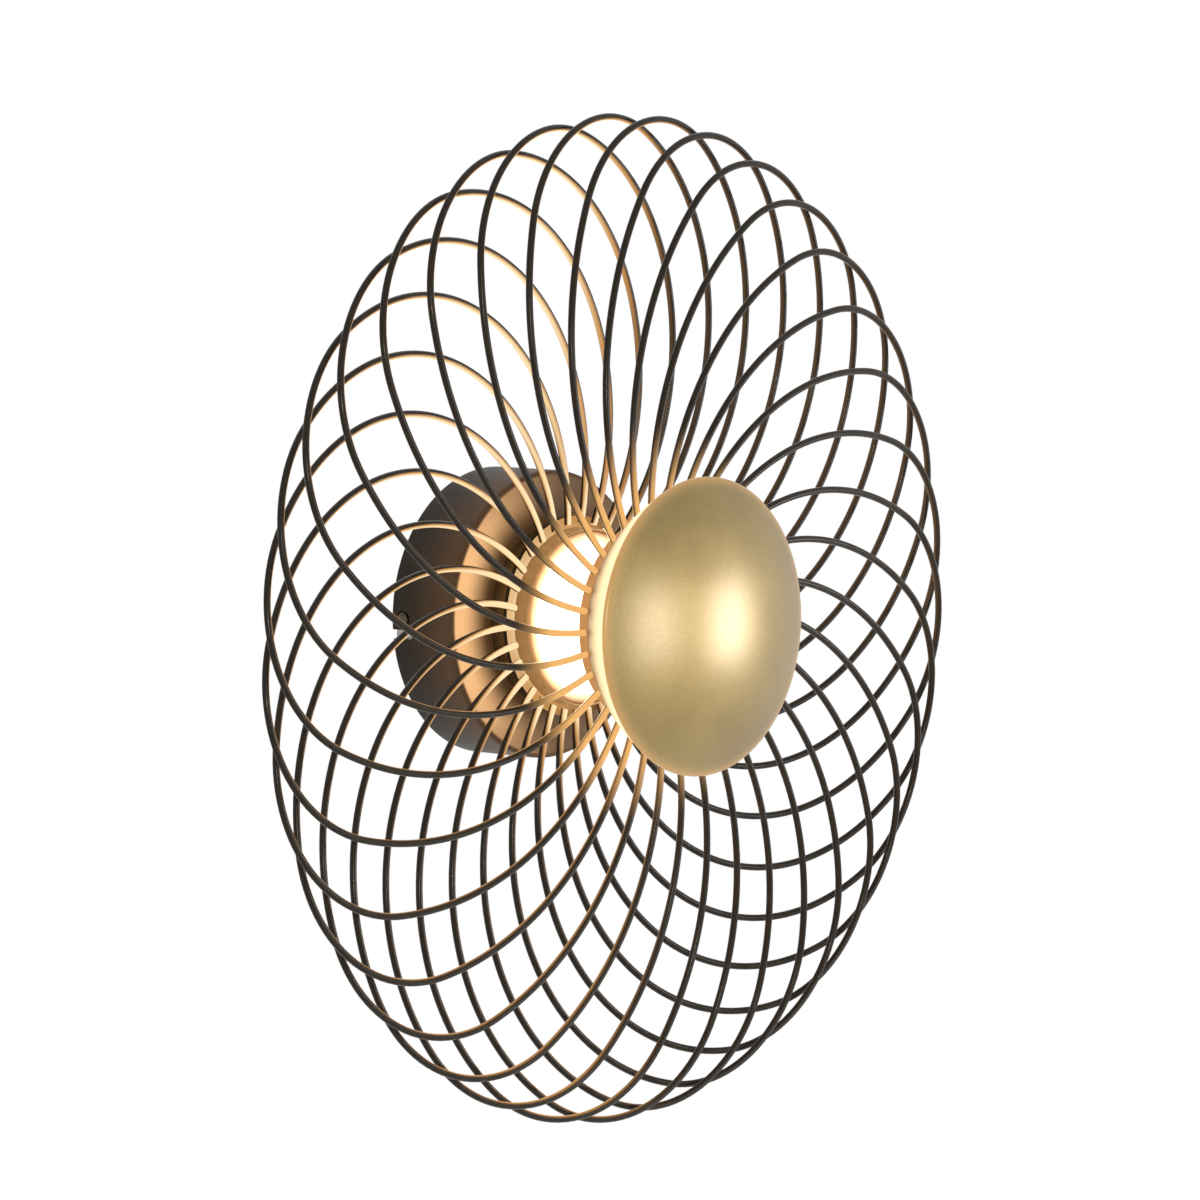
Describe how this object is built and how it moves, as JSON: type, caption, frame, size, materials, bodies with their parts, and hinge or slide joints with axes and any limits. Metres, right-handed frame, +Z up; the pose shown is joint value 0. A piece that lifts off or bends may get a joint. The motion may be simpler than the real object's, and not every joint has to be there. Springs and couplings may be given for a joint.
{
  "type": "wall sconce",
  "caption": "Wall light: dark bronze canopy, a round cage of leaning wire loops, a flat disc lamp in a gold cup and a gold dome in front.",
  "frame": {"origin": "centre of the canopy's back, on the wall", "axes": "+Z up, the lamp looks along -Y away from the wall, +X to the right as seen from the room"},
  "size_m": [0.432, 0.1352, 0.4325],
  "materials": {
    "bronze": "dark bronze satin paint",
    "gold": "satin champagne gold with a fine sparkle",
    "zinc_steel": "zinc plated",
    "brass": "plain turned",
    "black_rubber": "moulded",
    "white_plastic": "moulded",
    "holder_plastic": "moulded",
    "board": "white solder mask",
    "live_jacket": "silicone jacket",
    "neutral_jacket": "silicone jacket",
    "opal": "opal, lit from inside"
  },
  "bodies": {
    "base": {"wall_bracket": "zinc_steel", "cable_bush": "black_rubber", "earth_screw": "brass", "earth_washer": "brass", "terminal_block": "white_plastic", "terminal_tubes": "brass", "terminal_screws": "brass", "terminal_fixing": "zinc_steel", "canopy": "bronze", "canopy_screws": "bronze", "lamp_cup": "gold", "cup_screws": "zinc_steel", "lamp_holder": "holder_plastic", "holder_contacts": "brass", "holder_screws": "zinc_steel", "live_lead": "live_jacket", "neutral_lead": "neutral_jacket", "rear_ring": "bronze", "front_ring": "bronze", "wire_loop_01": "bronze", "wire_loop_02": "bronze", "wire_loop_03": "bronze", "wire_loop_04": "bronze", "wire_loop_05": "bronze", "wire_loop_06": "bronze", "wire_loop_07": "bronze", "wire_loop_08": "bronze", "wire_loop_09": "bronze", "wire_loop_10": "bronze", "wire_loop_11": "bronze", "wire_loop_12": "bronze", "wire_loop_13": "bronze", "wire_loop_14": "bronze", "wire_loop_15": "bronze", "wire_loop_16": "bronze", "wire_loop_17": "bronze", "wire_loop_18": "bronze", "wire_loop_19": "bronze", "wire_loop_20": "bronze", "wire_loop_21": "bronze", "wire_loop_22": "bronze", "wire_loop_23": "bronze", "wire_loop_24": "bronze", "wire_loop_25": "bronze", "wire_loop_26": "bronze", "wire_loop_27": "bronze", "wire_loop_28": "bronze", "wire_loop_29": "bronze", "wire_loop_30": "bronze", "wire_loop_31": "bronze", "wire_loop_32": "bronze"},
    "lamp": {"lamp_body": "white_plastic", "lamp_pins": "brass", "lamp_board": "board", "lamp_driver": "board", "lamp_diffuser": "opal"},
    "dome": {"dome_collar": "gold", "dome_pan": "gold", "dome_shell": "gold"}
  },
  "joints": [
    {"name": "lamp_twist", "type": "hinge", "parent": "base", "child": "lamp", "pos_m": [0, -0.045, 0], "axis": [0, -1, 0], "range_deg": [0, 20]},
    {"name": "dome_twist", "type": "hinge", "parent": "base", "child": "dome", "pos_m": [0, -0.094, 0], "axis": [0, -1, 0], "range_deg": [0, 22]}
  ]
}
